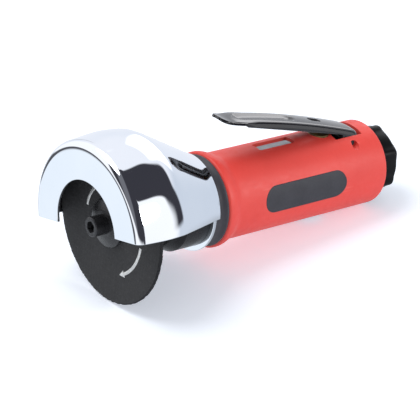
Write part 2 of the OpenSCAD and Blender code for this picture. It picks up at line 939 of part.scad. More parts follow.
// Seal ring in the plug's groove
plug_seal_t = 1;
plug_seal_z = z_spring - 2.5;
module valve_plug() {
    slot_w = 1.6;
    slot_depth = 1.8;
    color("#6f7278")
        difference() {
            post(plug_r, z_plug, z_spring);
            sleeve_post(plug_d, plug_r - plug_seal_t, plug_seal_z, plug_seal_z + plug_seal_t);
            translate([x_valve - plug_d, -slot_w / 2, z_plug - eps])
                cube([2 * plug_d, slot_w, slot_depth + eps]);
        }
}

module plug_seal() {
    z_low = plug_seal_z + slip;
    color("#1a1a1a")
        sleeve_post(plug_r, plug_r - plug_seal_t + slip, z_low, z_low + plug_seal_t - 2 * slip);
}

// Inlet and exhaust

screen_t = 0.8;
screen_r = inlet_d / 2 - 0.4;
x_screen = -inlet_depth - screen_t;
x_ring = x_deflector_rear + run;
ring_groove = 1;

module inlet_bushing() {
    x_thread = x_block_rear - inlet_thread_len;
    bore_r = screen_r - 0.8;
    hub_end = x_ring + ring_t + 0.8;
    color("#a9acb1")
        difference() {
            union() {
                rod(inlet_thread_d / 2, x_thread, x_block_rear + eps);
                rod(hub_r, x_block_rear, hub_end);
                translate([hub_end - eps, 0, 0])
                    rotate([0, 90, 0])
                        cylinder(d = inlet_hex / cos(30), h = eps - hub_end, $fn = 6);
            }
            tube(2 * hub_r, hub_r - ring_groove, x_ring, x_ring + ring_t + slip);
            rod(inlet_d / 2, -inlet_depth, eps);
            rod(screen_r, x_screen, 0);
            rod(bore_r, x_thread - eps, 0);
        }
}

// Brass strainer disc at the bottom of the inlet's hole
module inlet_screen() {
    hole_r = 0.55;
    pitch = 1.7;
    color("#b8924a")
        difference() {
            rod(screen_r - slip, x_screen, x_screen + screen_t);
            for (i = [-1:1], j = [-1:1])
                translate([0, i * pitch, j * pitch])
                    rod(hole_r, x_screen - eps, x_screen + screen_t + eps);
        }
}

// Holds the deflector on the inlet bushing
module deflector_ring() {
    color("#55575c")
        tube(hub_r + 1.5, hub_r - ring_groove + slip, x_ring, x_ring + ring_t);
}

deflector_core_r = deflector_d / 2 - 1.4;
boss_r = hub_r + run + 1.2;
x_cavity_end = x_deflector_rear - deflector_wall;

module exhaust_deflector() {
    edge = 2;
    vent_r = 1.1;
    vent_at = (boss_r + deflector_core_r - deflector_wall) / 2;
    r = deflector_d / 2;
    color("#141417")
        difference() {
            intersection() {
                union() {
                    rod(deflector_core_r, x_deflector, x_deflector_rear);
                    for (i = [0:lobe_count - 1])
                        rotate([i * 360 / lobe_count, 0, 0])
                            translate([0, 0, r - lobe_r])
                                rod(lobe_r, x_deflector, x_deflector_rear);
                }
                turned(concat([[0, x_deflector], [r, x_deflector]],
                    arc(r - edge, x_deflector_rear - edge, edge, 0, 90), [[0, x_deflector_rear]]));
            }
            tube(deflector_core_r - deflector_wall, boss_r, x_deflector - eps, x_cavity_end);
            rod(hub_r + run, x_deflector - eps, x_deflector_rear + eps);
            for (i = [0:2 * lobe_count - 1])
                rotate([i * 180 / lobe_count, 0, 0])
                    translate([0, 0, vent_at])
                        rod(vent_r, x_cavity_end - eps, x_deflector_rear + eps);
        }
}

// Felt ring that quietens the exhaust
module exhaust_felt() {
    felt_t = 4;
    color("#8a8578")
        tube(deflector_core_r - deflector_wall - slip, boss_r + slip, x_cavity_end - felt_t, x_cavity_end);
}

cutting_wheel();
wheel_screw();
outer_flange();
inner_flange();
rotor();
rotor_vanes();
cylinder_liner();
front_end_plate();
rear_end_plate();
liner_dowel();
front_outer_race();
front_inner_race();
front_balls();
rear_outer_race();
rear_inner_race();
rear_balls();
bearing_washer();
dust_seal();
nose_housing();
front_collar();
motor_housing();
guard();
guard_screw();
grip_sleeve();
side_badges();
throttle_lever();
lever_pin();
valve_plunger();
valve_seal();
valve_seat();
valve_bush();
valve_spring();
valve_plug();
plug_seal();
inlet_bushing();
inlet_screen();
exhaust_deflector();
exhaust_felt();
deflector_ring();
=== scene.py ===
import json
import math
import random

import bmesh
import bpy
from mathutils import Matrix, Vector


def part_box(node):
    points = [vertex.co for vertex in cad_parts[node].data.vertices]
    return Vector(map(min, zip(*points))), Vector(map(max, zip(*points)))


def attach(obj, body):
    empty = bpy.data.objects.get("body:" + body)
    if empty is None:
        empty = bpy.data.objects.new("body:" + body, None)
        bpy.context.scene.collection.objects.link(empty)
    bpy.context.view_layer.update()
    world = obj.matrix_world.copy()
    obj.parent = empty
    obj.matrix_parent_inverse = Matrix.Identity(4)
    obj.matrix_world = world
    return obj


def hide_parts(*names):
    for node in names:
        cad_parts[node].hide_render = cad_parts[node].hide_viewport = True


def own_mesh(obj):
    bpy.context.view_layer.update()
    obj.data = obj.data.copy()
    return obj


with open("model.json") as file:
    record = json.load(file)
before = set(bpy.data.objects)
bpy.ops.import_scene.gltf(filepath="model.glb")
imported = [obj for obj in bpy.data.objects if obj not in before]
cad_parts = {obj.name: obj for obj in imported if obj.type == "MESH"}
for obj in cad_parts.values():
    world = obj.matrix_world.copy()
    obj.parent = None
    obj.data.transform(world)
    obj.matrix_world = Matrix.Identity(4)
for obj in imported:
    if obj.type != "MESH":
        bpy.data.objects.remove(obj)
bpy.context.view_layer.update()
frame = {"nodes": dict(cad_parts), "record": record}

NODES = frame["nodes"]
MM = 0.001
WELD = 1e-7
SCENE = bpy.context.scene
SCENE.view_settings.view_transform = "Standard"

# Stations along the tool and its main radii, in millimetres, as in the solids
X_SLEEVE_REAR = -18.3
X_SLEEVE = -118.8
X_LIP = -117.7
X_COLLAR = -124.9
X_NOSE = -144.8
X_WHEEL = -169.3
X_GUARD = -182.5
X_BAND = -126.9
X_GUARD_REAR = -122.3
X_PIVOT = -34.3
X_VALVE = -47.8
Z_PIVOT = 16.6
WHEEL_R = 38.1
WHEEL_T = 1.8
GUARD_R = 40.1
GUARD_WALL = 1.4
MOUTH_R = 22.1
HOOD_ROUND = 3.8
NECK_R = 22.1
NOSE_R = 19.7
SLEEVE_R = 20.8
SLEEVE_BORE = 18.0
LIP_R = 22.8
GUARD_TURN = math.radians(13.4)
LEVER_SLOPE = math.radians(14.6)


# Mesh helpers

def from_data(name, verts, faces, material=None, sharp=None):
    """A smooth mesh object from points in millimetres, its edges over an angle in degrees kept sharp."""
    mesh = bpy.data.meshes.new(name)
    mesh.from_pydata([(x * MM, y * MM, z * MM) for x, y, z in verts], [], faces)
    bm = bmesh.new()
    bm.from_mesh(mesh)
    bmesh.ops.remove_doubles(bm, verts=bm.verts, dist=WELD)
    bmesh.ops.recalc_face_normals(bm, faces=bm.faces)
    bm.to_mesh(mesh)
    bm.free()
    if material:
        mesh.materials.append(material)
    mesh.polygons.foreach_set("use_smooth", [True] * len(mesh.polygons))
    if sharp is not None:
        mesh.set_sharp_from_angle(angle=math.radians(sharp))
    obj = bpy.data.objects.new(name, mesh)
    SCENE.collection.objects.link(obj)
    return obj


def grid_faces(rows, cols, closed=False):
    """Faces of a grid of points, whose rows may close on themselves."""
    faces = []
    for i in range(rows - 1):
        for j in range(cols - (0 if closed else 1)):
            k = (j + 1) % cols
            faces.append((i * cols + j, i * cols + k, (i + 1) * cols + k, (i + 1) * cols + j))
    return faces


def hoop_faces(rings, count):
    """Faces of a grid of points that closes on itself both ways."""
    faces = []
    for i in range(rings):
        k = (i + 1) % rings
        for j in range(count):
            m = (j + 1) % count
            faces.append((i * count + j, k * count + j, k * count + m, i * count + m))
    return faces


def turned(name, profile, segments=192, material=None, sharp=32, wobble=None):
    """A closed profile of (radius, x) points turned about the tool's axis."""
    verts = []
    for i in range(segments):
        a = 2 * math.pi * i / segments
        for j, (r, x) in enumerate(profile):
            if wobble:
                r = wobble(r, i, j)
            verts.append((x, -r * math.sin(a), r * math.cos(a)))
    return from_data(name, verts, hoop_faces(segments, len(profile)), material, sharp)


def prism(name, outline, low, high, place):
    """A closed outline of (u, v) points raised from low to high, each point put by place(u, v, w)."""
    n = len(outline)
    verts = [place(u, v, low) for u, v in outline] + [place(u, v, high) for u, v in outline]
    faces = [tuple(range(n)), tuple(range(2 * n - 1, n - 1, -1))]
    faces += [(i, (i + 1) % n, n + (i + 1) % n, n + i) for i in range(n)]
    return from_data(name, verts, faces)


def along_x(u, v, w):
    return (w, u, v)


def along_y(u, v, w):
    return (u, w, v)


def along_z(u, v, w):
    return (u, v, w)


def stadium(length, width, steps=20, cx=0.0, cy=0.0):
    """A slot's outline with half-round ends."""
    half, r = length / 2 - width / 2, width / 2
    pts = []
    for i in range(steps + 1):
        a = -math.pi / 2 + math.pi * i / steps
        pts.append((cx + half + r * math.cos(a), cy + r * math.sin(a)))
    for i in range(steps + 1):
        a = math.pi / 2 + math.pi * i / steps
        pts.append((cx - half + r * math.cos(a), cy + r * math.sin(a)))
    return pts


def rounded(length, width, r, cx=0.0, steps=8):
    """A rectangle with round corners."""
    pts = []
    for k, (sx, sy) in enumerate(((1, 1), (-1, 1), (-1, -1), (1, -1))):
        for i in range(steps + 1):
            a = math.pi / 2 * (k + i / steps)
            pts.append((cx + sx * (length / 2 - r) + r * math.cos(a),
                        sy * (width / 2 - r) + r * math.sin(a)))
    return pts


def circle(r, steps=48, cx=0.0, cy=0.0):
    return [(cx + r * math.cos(2 * math.pi * i / steps), cy + r * math.sin(2 * math.pi * i / steps))
            for i in range(steps)]


def hexagon(r, start=0):
    """A hexagon by the radius of its corners, the first of them at an angle in degrees."""
    corners = [math.radians(60 * i + start) for i in range(6)]
    return [(r * math.cos(a), r * math.sin(a)) for a in corners]


def arc(cr, cx, radius, start, end, steps=8):
    """Profile points (radius, x) on a round, by angles in degrees, 0 outward and 90 to the rear."""
    pts = []
    for i in range(steps + 1):
        a = math.radians(start + (end - start) * i / steps)
        pts.append((cr + radius * math.cos(a), cx + radius * math.sin(a)))
    return pts


def ease(t):
    """A smooth step from 0 to 1."""
    t = min(max(t, 0.0), 1.0)
    return t * t * (3 - 2 * t)


def bake(obj):
    """Applies an object's modifiers."""
    graph = bpy.context.evaluated_depsgraph_get()
    mesh = bpy.data.meshes.new_from_object(obj.evaluated_get(graph), depsgraph=graph)
    obj.modifiers.clear()
    obj.data = mesh


def cut(obj, *cutters, mode="DIFFERENCE"):
    """Cuts, joins or trims an object by others, which are then removed."""
    for cutter in cutters:
        mod = obj.modifiers.new("cut", "BOOLEAN")
        mod.operation = mode
        mod.solver = "EXACT"
        mod.object = cutter
    bpy.context.view_layer.update()
    bake(obj)
    for cutter in cutters:
        bpy.data.objects.remove(cutter)


def soften(obj, sharp, width, segments, limit):
    """Keeps edges over one angle sharp in shading, and rounds edges over another, in degrees."""
    obj.data.set_sharp_from_angle(angle=math.radians(sharp))
    mod = obj.modifiers.new("soft_edge", "BEVEL")
    mod.width = width * MM
    mod.segments = segments
    mod.limit_method = "ANGLE"
    mod.angle_limit = math.radians(limit)
    mod.use_clamp_overlap = True
    mod.miter_outer = "MITER_ARC"
    mod.harden_normals = True


def piece(obj, body, slot, *nodes):
    """Makes an object a piece of the part, in the place of the nodes it dresses."""
    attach(obj, body)
    if nodes:
        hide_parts(*nodes)


# Materials

class Build:
    """Small helper that wires one material's nodes."""

    def __init__(self, name):
        self.mat = bpy.data.materials.new(name)
        self.mat.use_nodes = True
        self.tree = self.mat.node_tree
        self.shader = self.tree.nodes["Principled BSDF"]
        self.coord = self.new("ShaderNodeTexCoord").outputs["Object"]
        self.normal = None

    def new(self, kind, **values):
        node = self.tree.nodes.new(kind)
        for key, value in values.items():
            setattr(node, key, value)
        return node

    def wire(self, a, b):
        self.tree.links.new(a, b)

    def set(self, **values):
        for key, value in values.items():
            self.shader.inputs[key.replace("_", " ")].default_value = value

    def stretched(self, scale):
        node = self.new("ShaderNodeMapping")
        node.inputs["Scale"].default_value = scale
        self.wire(self.coord, node.inputs["Vector"])
        return node.outputs["Vector"]

    def noise(self, scale, detail=3.0, rough=0.55, vector=None):
        node = self.new("ShaderNodeTexNoise")
        node.inputs["Scale"].default_value = scale
        node.inputs["Detail"].default_value = detail
        node.inputs["Roughness"].default_value = rough
        self.wire(vector or self.coord, node.inputs["Vector"])
        return node.outputs["Fac"]

    def cells(self, scale):
        node = self.new("ShaderNodeTexVoronoi", feature="F1")
        node.inputs["Scale"].default_value = scale
        self.wire(self.coord, node.inputs["Vector"])
        return node.outputs["Distance"]

    def threads(self, axis, scale):
        """Wavy bands across one axis."""
        node = self.new("ShaderNodeTexWave", wave_type="BANDS", bands_direction=axis, wave_profile="SIN")
        for key, value in (("Scale", scale), ("Distortion", 1.2), ("Detail", 2), ("Detail Scale", 3)):
            node.inputs[key].default_value = value
        self.wire(self.coord, node.inputs["Vector"])
        return node.outputs["Fac"]

    def radius(self):
        """Distance from the tool's axis."""
        across = self.new("ShaderNodeVectorMath", operation="MULTIPLY")
        across.inputs[1].default_value = (0, 1, 1)
        self.wire(self.coord, across.inputs[0])
        length = self.new("ShaderNodeVectorMath", operation="LENGTH")
        self.wire(across.outputs["Vector"], length.inputs[0])
        return length.outputs["Value"]

    def span(self, value, low, high, from_low=0.3, from_high=0.7):
        node = self.new("ShaderNodeMapRange")
        node.inputs["From Min"].default_value = from_low
        node.inputs["From Max"].default_value = from_high
        node.inputs["To Min"].default_value = low
        node.inputs["To Max"].default_value = high
        self.wire(value, node.inputs["Value"])
        return node.outputs["Result"]

    def math(self, kind, a, b):
        node = self.new("ShaderNodeMath", operation=kind)
        for i, v in enumerate((a, b)):
            if isinstance(v, (int, float)):
                node.inputs[i].default_value = v
            else:
                self.wire(v, node.inputs[i])
        return node.outputs["Value"]

    def blend(self, factor, a, b):
        node = self.new("ShaderNodeMix", data_type="RGBA")
        self.wire(factor, node.inputs["Factor"])
        for key, value in (("A", a), ("B", b)):
            socket = [s for s in node.inputs if s.name == key and s.type == "RGBA"][0]
            if isinstance(value, tuple):
                socket.default_value = (*value, 1)
            else:
                self.wire(value, socket)
        return [s for s in node.outputs if s.type == "RGBA"][0]

    def bump(self, height, strength, depth):
        """A relief of a depth in millimetres, on top of those before it."""
        node = self.new("ShaderNodeBump")
        node.inputs["Strength"].default_value = strength
        node.inputs["Distance"].default_value = depth * MM
        self.wire(height, node.inputs["Height"])
        if self.normal:
            self.wire(self.normal, node.inputs["Normal"])
        self.normal = node.outputs["Normal"]
        self.wire(self.normal, self.shader.inputs["Normal"])

    def colour(self, socket):
        self.wire(socket, self.shader.inputs["Base Color"])

    def rough(self, socket):
        self.wire(socket, self.shader.inputs["Roughness"])

    def worn(self, base, edge, amount=1.0):
        """Base colour rubbed to another along convex edges."""
        geo = self.new("ShaderNodeNewGeometry").outputs["Pointiness"]
        rub = self.math("MULTIPLY", self.span(geo, 0, amount, 0.52, 0.6), self.noise(900, 4))
        return self.blend(rub, base, edge)


def metal(name, colour, other, rough, grain=None, scale=350):
    """Bare metal of two tones, brushed where grain gives the lines' scale along each axis."""
    b = Build(name)
    b.set(Metallic=1.0)
    b.colour(b.blend(b.span(b.noise(scale * 0.4, 4), 0, 1), colour, other))
    if grain:
        lines = b.noise(1.0, 2, 0.6, b.stretched(grain))
        b.rough(b.span(lines, *rough))
        b.bump(lines, 0.25, 0.02)
    else:
        b.rough(b.span(b.noise(scale, 5, 0.65), *rough))
    return b.mat


def coated(name, colour, other, rough, fine, depth, metallic=0.0, specular=0.5, edge=None):
    """Paint, plastic or a like skin of two tones, with a fine relief and perhaps rubbed edges."""
    b = Build(name)
    b.set(Metallic=metallic, Specular_IOR_Level=specular)
    tone = b.blend(b.span(b.noise(120, 5, 0.6), 0, 1), colour, other)
    b.colour(b.worn(tone, edge) if edge else tone)
    b.rough(b.span(b.noise(fine * 0.3, 4), *rough))
    b.bump(b.noise(fine, 3, 0.6), 0.35, depth)
    return b.mat


def make_red():
    """Moulded red composite: clouded, specked and a little rubbed at its edges."""
    b = Build("red_composite")
    b.set(Specular_IOR_Level=0.5)
    cloud = b.span(b.noise(38, 5, 0.6), 0, 1)
    speck = b.span(b.noise(2600, 2), 0, 1, 0.56, 0.72)
    tone = b.blend(cloud, (0.74, 0.050, 0.038), (0.80, 0.062, 0.047))
    tone = b.blend(b.math("MULTIPLY", speck, 0.25), tone, (0.58, 0.034, 0.026))
    b.colour(b.worn(tone, (0.84, 0.14, 0.11), 0.7))
    b.rough(b.span(b.noise(420, 4), 0.44, 0.58))
    b.bump(b.noise(5200, 2), 0.22, 0.05)
    b.bump(b.noise(160, 3), 0.12, 0.12)
    return b.mat


def make_abrasive():
    """Bonded grains with sparks, mottling, a dark rim and the glass cloth's weave showing through."""
    b = Build("bonded_abrasive")
    b.set(Specular_IOR_Level=0.35)
    grains = b.noise(3600, 4, 0.7)
    tone = b.blend(b.span(grains, 0, 1, 0.35, 0.68), (0.016, 0.016, 0.017), (0.055, 0.054, 0.056))
    spark = b.span(b.noise(5200, 1), 0, 1, 0.68, 0.74)
    tone = b.blend(spark, tone, (0.16, 0.16, 0.165))
    mottle = b.span(b.noise(420, 4, 0.6), 0, 0.5, 0.42, 0.72)
    tone = b.blend(mottle, tone, (0.024, 0.024, 0.025))
    rim = b.span(b.radius(), 0, 1, (WHEEL_R - 0.7) * MM, (WHEEL_R - 0.5) * MM)
    tone = b.blend(rim, tone, (0.009, 0.009, 0.012))
    weave = b.math("MAXIMUM", b.threads("Y", 150), b.threads("Z", 150))
    b.colour(b.blend(b.span(weave, 0.25, 0, 0.55, 1.0), tone, (0.03, 0.03, 0.03)))
    b.rough(b.span(grains, 0.62, 0.9))
    b.bump(weave, 0.35, 0.12)
    b.bump(b.cells(2600), 0.55, 0.12)
    return b.mat


def make_print():
    """Worn white print."""
    b = Build("white_print")
    b.set(Specular_IOR_Level=0.3)
    wear = b.span(b.noise(1500, 4, 0.7), 0, 1, 0.5, 0.72)
    b.colour(b.blend(wear, (0.82, 0.82, 0.80), (0.30, 0.30, 0.30)))
    b.rough(b.span(b.noise(900), 0.55, 0.75))
    b.bump(b.noise(3000, 3), 0.4, 0.03)
    return b.mat


def make_chrome():
    """Bright plating with the faint waves of pressed sheet."""
    b = Build("bright_chrome")
    b.set(Metallic=1.0)
    b.colour(b.blend(b.span(b.noise(30, 3), 0, 1), (0.80, 0.84, 0.90), (0.84, 0.875, 0.925)))
    b.rough(b.span(b.noise(140, 5, 0.65), 0.025, 0.06))
    b.bump(b.noise(32, 2), 0.10, 0.35)
    return b.mat


def make_lever_paint():
    """Glossy black paint, rubbed at its edges."""
    b = Build("glossy_black")
    b.set(IOR=1.6)
    tone = b.blend(b.span(b.noise(60, 4), 0, 1), (0.006, 0.006, 0.008), (0.011, 0.011, 0.014))
    b.colour(b.worn(tone, (0.10, 0.10, 0.11), 0.8))
    b.rough(b.span(b.noise(260, 5, 0.65), 0.08, 0.14))
    b.bump(b.noise(70, 3), 0.08, 0.2)
    return b.mat


M = {
    "red": make_red(),
    "abrasive": make_abrasive(),
    "print": make_print(),
    "chrome": make_chrome(),
    "lever": make_lever_paint(),
    "dull": metal("dull_plating", (0.10, 0.10, 0.11), (0.16, 0.16, 0.17), (0.35, 0.5), scale=500),
    "oxide": coated("black_oxide", (0.018, 0.018, 0.020), (0.034, 0.034, 0.037), (0.22, 0.38), 2200, 0.03,
                    metallic=0.55, edge=(0.14, 0.14, 0.15)),
    "nose": coated("dark_satin_alloy", (0.007, 0.007, 0.009), (0.012, 0.012, 0.015), (0.2, 0.32), 1800, 0.03,
                   specular=0.18, edge=(0.05, 0.05, 0.055)),
    "collar": coated("grey_satin", (0.046, 0.043, 0.052), (0.060, 0.057, 0.066), (0.46, 0.58), 2400, 0.04,
                     specular=0.3, edge=(0.14, 0.135, 0.15)),
    "badge": coated("badge_grey", (0.037, 0.037, 0.046), (0.048, 0.048, 0.058), (0.5, 0.64), 3600, 0.05,
                    specular=0.35),
    "cap": coated("cap_satin", (0.0035, 0.0035, 0.0045), (0.0065, 0.0065, 0.0075), (0.3, 0.42), 2600, 0.06,
                  specular=0.11, edge=(0.04, 0.04, 0.042)),
    # Alloy darkened well below its own grey: painted shade of the lever and the window's depth, on the land
    # and the motor housing
    "land": metal("alloy_painted_shade", (0.15, 0.155, 0.165), (0.23, 0.235, 0.245), (0.3, 0.46), (4200, 120, 120)),
    "steel": metal("ground_steel", (0.48, 0.49, 0.51), (0.60, 0.61, 0.63), (0.2, 0.36), (6000, 60, 60)),
    "alu": metal("turned_aluminium", (0.58, 0.59, 0.61), (0.66, 0.67, 0.69), (0.26, 0.42), (5200, 90, 90)),
    # Brass darkened well below its own colour: painted shade for the valve parts under the lever
    "brass": metal("brass_painted_shade", (0.16, 0.11, 0.05), (0.24, 0.165, 0.075), (0.38, 0.52), (90, 90, 5200)),
    "rubber": coated("nitrile_rubber", (0.014, 0.014, 0.014), (0.022, 0.022, 0.022), (0.6, 0.8), 3000, 0.05),
    "felt": coated("pressed_felt", (0.30, 0.28, 0.23), (0.40, 0.38, 0.32), (0.88, 0.98), 1500, 0.4,
                   specular=0.1),
    "phenolic": coated("laminated_phenolic", (0.13, 0.075, 0.04), (0.22, 0.14, 0.08), (0.45, 0.65),
                       1400, 0.1),
}

# Looks of the solids, by slot, with two exceptions by node
SLOT_LOOK = {"abrasive": "abrasive", "phenolic": "phenolic", "felt": "felt", "dark_alloy": "nose",
             "collar_grey": "collar", "guard_chrome": "chrome", "grip_red": "red", "badge_grey": "badge",
             "lever_black": "lever", "brass": "brass", "seal_rubber": "rubber", "cap_black": "cap"}
NODE_LOOK = {"lever_pin": "nose", "motor_housing": "land"}
for part in frame["record"]["subparts"]:
    slot = part["material_slot"]
    look = SLOT_LOOK.get(slot)
    if look is None:
        look = "oxide" if "black" in slot else "alu" if "alu" in slot else "steel"
    look = NODE_LOOK.get(part["node"], look)
    node = NODES[part["node"]]
    if node.material_slots:
        for place in node.material_slots:
            place.material = M[look]
    else:
        node.data.materials.append(M[look])


# Guard: a pressed and plated shell over the wheel, running into a neck round the nose
GUARD_ROWS = 221
EDGE_DROP, EDGE_SLOPE = 0.9, math.radians(3.4)
RUN_POINTS, RUN_BLUR, REAR_POINTS = 200, 2.6, 80
# Outline behind the front round: station, radius at the sides, and how much more at the top
GUARD_RUN = ((X_GUARD + HOOD_ROUND, GUARD_R, 0.0), (X_WHEEL - 5.0, GUARD_R, 0.3),
             (X_WHEEL + 3.0, 39.65, 1.9), (X_WHEEL + 14.0, 36.9, 3.9),
             (X_GUARD_REAR - 1.8, NECK_R + 0.1, 1.5), (X_GUARD_REAR - 0.8, NECK_R, 1.4))


def resample(points, count):
    """Evenly spaced points on a run, and their spacing."""
    length = [0.0]
    for a, b in zip(points, points[1:]):
        length.append(length[-1] + math.dist(a, b))
    out, k = [], 0
    for i in range(count):
        s = length[-1] * i / (count - 1)
        while k < len(points) - 2 and length[k + 1] < s:
            k += 1
        f = (s - length[k]) / max(length[k + 1] - length[k], 1e-9)
        out.append(tuple(p + (q - p) * f for p, q in zip(points[k], points[k + 1])))
    return out, length[-1] / (count - 1)


def smoothed(points, step, reach):
    """The same run of points, blurred along its length, with its ends held."""
    span = max(int(3 * reach / step), 1)
    weights = [math.exp(-0.5 * (k * step / reach) ** 2) for k in range(-span, span + 1)]
    n, out = len(points), []
    for i in range(n):
        total, acc = 0.0, [0.0, 0.0]
        for k in range(-span, span + 1):
            j = i + k
            if j < 0:
                q = [2 * a - b for a, b in zip(points[0], points[min(-j, n - 1)])]
            elif j >= n:
                q = [2 * a - b for a, b in zip(points[-1], points[max(2 * n - 2 - j, 0)])]
            else:
                q = points[j]
            w = weights[k + span]
            total += w
            acc[0] += w * q[0]
            acc[1] += w * q[1]
        out.append((acc[0] / total, acc[1] / total))
    return out


def guard_profile(phi):
    """Outer outline (x, radius) of the guard at an angle from its top."""
    w = max(math.cos(phi), 0.0) ** 2
    front = [(X_GUARD, MOUTH_R + (GUARD_R - HOOD_ROUND - MOUTH_R) * i / 10) for i in range(11)]
    bend = arc(GUARD_R - HOOD_ROUND, X_GUARD + HOOD_ROUND, HOOD_ROUND, -90, 0, 14)
    front += [(x, r) for r, x in bend][1:]
    run = [(x, side + more * w) for x, side, more in GUARD_RUN]
    dense, step = resample(run, RUN_POINTS)
    rear, _ = resample(smoothed(dense, step, RUN_BLUR), REAR_POINTS)
    return front + rear[1:]


def edge_angle(x, r):
    """Angle from the guard's top at which its lower edge cuts a ring."""
    drop = EDGE_DROP + math.tan(EDGE_SLOPE) * (x - X_GUARD)
    return math.acos(max(min(-drop / r, 1.0), -1.0))


def make_guard():
    verts = []
    for i in range(GUARD_ROWS):
        t = 2 * i / (GUARD_ROWS - 1) - 1
        run = guard_profile(t * math.pi / 2)
        for x, r in run:
            phi = t * edge_angle(x, r)
            verts.append((x, -r * math.sin(phi), r * math.cos(phi)))
    obj = from_data("guard_shell", verts, grid_faces(GUARD_ROWS, len(run)), M["chrome"])
    obj.data.materials.append(M["dull"])
    wall = obj.modifiers.new("wall", "SOLIDIFY")
    wall.thickness = GUARD_WALL * MM
    wall.offset = -1
    wall.use_even_offset = True
    wall.material_offset = 1
    bpy.context.view_layer.update()
    bake(obj)
    return obj


guard = make_guard()
guard.data.transform(Matrix.Rotation(-GUARD_TURN, 4, "X"))
soften(guard, 40, 0.4, 3, 50)
piece(guard, "guard", "guard_chrome", "guard")
BAND_R, BAND_W, BAND_ROUND, BAND_BORE = 22.2, 1.8, 0.5, NOSE_R + 0.06
band = turned("clamp_band", arc(BAND_R - BAND_ROUND, X_BAND + BAND_ROUND, BAND_ROUND, -90, 0, 4)
              + arc(BAND_R - BAND_ROUND, X_BAND + BAND_W - BAND_ROUND, BAND_ROUND, 0, 90, 4)
              + [(BAND_BORE, X_BAND + BAND_W), (BAND_BORE, X_BAND)], 192, M["chrome"])
piece(band, "guard", "guard_chrome")


# Boss for the guard's clamp screw on the far side of the neck, and the screw
CLAMP_X, SEAT_R = X_BAND - 4.0, 27.1
CLAMP_TURN = math.radians(-75) - GUARD_TURN
BOSS_R, BOSS_HOLE_R = 4.1, 2.1
CLAMP_HEAD_R, CLAMP_HEAD_H, CLAMP_STEM_R, CLAMP_SOCKET_R = 3.58, 2.2, 1.98, 1.73


def radial(u, v, w):
    c, s = math.cos(CLAMP_TURN), math.sin(CLAMP_TURN)
    return (CLAMP_X + u, v * c - w * s, v * s + w * c)


boss = prism("clamp_boss", circle(BOSS_R, 64), 21.6, SEAT_R - 0.02, radial)
boss.data.materials.append(M["chrome"])
cut(boss, prism("boss_hole", circle(BOSS_HOLE_R, 32), 15, 40, radial))
soften(boss, 32, 0.35, 3, 40)
piece(boss, "guard", "guard_chrome")
clamp = prism("clamp_head", circle(CLAMP_HEAD_R, 64), SEAT_R, SEAT_R + CLAMP_HEAD_H, radial)
clamp.data.materials.append(M["oxide"])
cut(clamp, prism("clamp_stem", circle(CLAMP_STEM_R, 32), 19.8, SEAT_R + 0.5, radial), mode="UNION")
cut(clamp, prism("clamp_socket", hexagon(CLAMP_SOCKET_R), SEAT_R + 0.9, SEAT_R + 5, radial))
soften(clamp, 32, 0.3, 3, 50)
piece(clamp, "guard", "black_steel", "guard_screw")

# Cutting wheel with a gritty rim, and two plain printed marks for its turning direction
WHEEL_STEPS, GRIT_DEPTH, GRIT_BIAS, GRIT_DRAWS = 420, 0.4, 1.3, 7
FACE_RADII = [4.9, 11, 19, 27, 35]
RIM_PROFILE = [(37.5, 0.0), (37.95, 0.15), (WHEEL_R, 0.9), (37.95, 1.65), (37.5, WHEEL_T)]
random.seed(11)
GRIT = [[random.random() ** GRIT_BIAS * GRIT_DEPTH for _ in range(GRIT_DRAWS)] for _ in range(WHEEL_STEPS)]


def gritty(r, i, j):
    """Radius of a wheel's point, less a grain's depth on the rim."""
    k = j - len(FACE_RADII)
    return r - GRIT[i][k] if 0 <= k < len(RIM_PROFILE) else r


wheel = turned("abrasive_wheel", [(r, X_WHEEL) for r in FACE_RADII]
               + [(r, X_WHEEL + x) for r, x in RIM_PROFILE]
               + [(r, X_WHEEL + WHEEL_T) for r in reversed(FACE_RADII)],
               WHEEL_STEPS, M["abrasive"], 30, gritty)
piece(wheel, "spindle", "abrasive", "cutting_wheel")
ARROW_HALF, ARROW_FLARE, ARROW_TIP, ARROW_STEPS = 0.75, 2.2, 9, 40


def arrow(name, start, end, r):
    """A curved arrow printed on the wheel's face, by angles in degrees from the top towards the viewer."""
    outer = [(start + (end - start) * i / ARROW_STEPS, r + ARROW_HALF) for i in range(ARROW_STEPS + 1)]
    inner = [(a, r - ARROW_HALF) for a, _ in reversed(outer)]
    flare = ARROW_FLARE * ARROW_HALF
    head = [(end, r + flare), (end + ARROW_TIP, r), (end, r - flare)]

    def place(a, rad, x):
        a = math.radians(a)
        return (x, -rad * math.sin(a), rad * math.cos(a))

    obj = prism(name, outer + head + inner, X_WHEEL - 0.04, X_WHEEL + 0.02, place)
    obj.data.materials.append(M["print"])
    piece(obj, "spindle", "abrasive")


arrow("turn_mark_a", 96, 146, 24.0)
arrow("turn_mark_b", -84, -34, 17.5)

# Outer flange, wheel screw, nose and collar, each by a profile of (radius, x) points
X_HEAD, SCREW_R, HEAD_R, HEAD_H, SCREW_LEN = X_WHEEL - 3.4, 3.0, 4.7, 7.0, 18
FLANGE_R, FLANGE_BORE = 11.2, 3.05
SOCKET_R, SOCKET_FLOOR = 2.887, X_HEAD - 3.5
SPIGOT_R, SPIGOT_BORE, BEARING_R, SHAFT_HOLE_R = 16.6, 15.55, 11.02, 6.5
COLLAR_R, COLLAR_FLANGE_R, COLLAR_BORE = 20.4, 21.7, 16.62
flange = turned("outer_flange_look", [
    (FLANGE_BORE, X_WHEEL - 0.02), (10.9, X_WHEEL - 0.02), (FLANGE_R, X_WHEEL - 0.4),
    (FLANGE_R, X_WHEEL - 1.7), (10.9, X_WHEEL - 2.05), (6.6, X_HEAD + 0.1), (6.0, X_HEAD),
    (FLANGE_BORE, X_HEAD)], 128, M["oxide"], 22)
piece(flange, "spindle", "black_steel", "outer_flange")
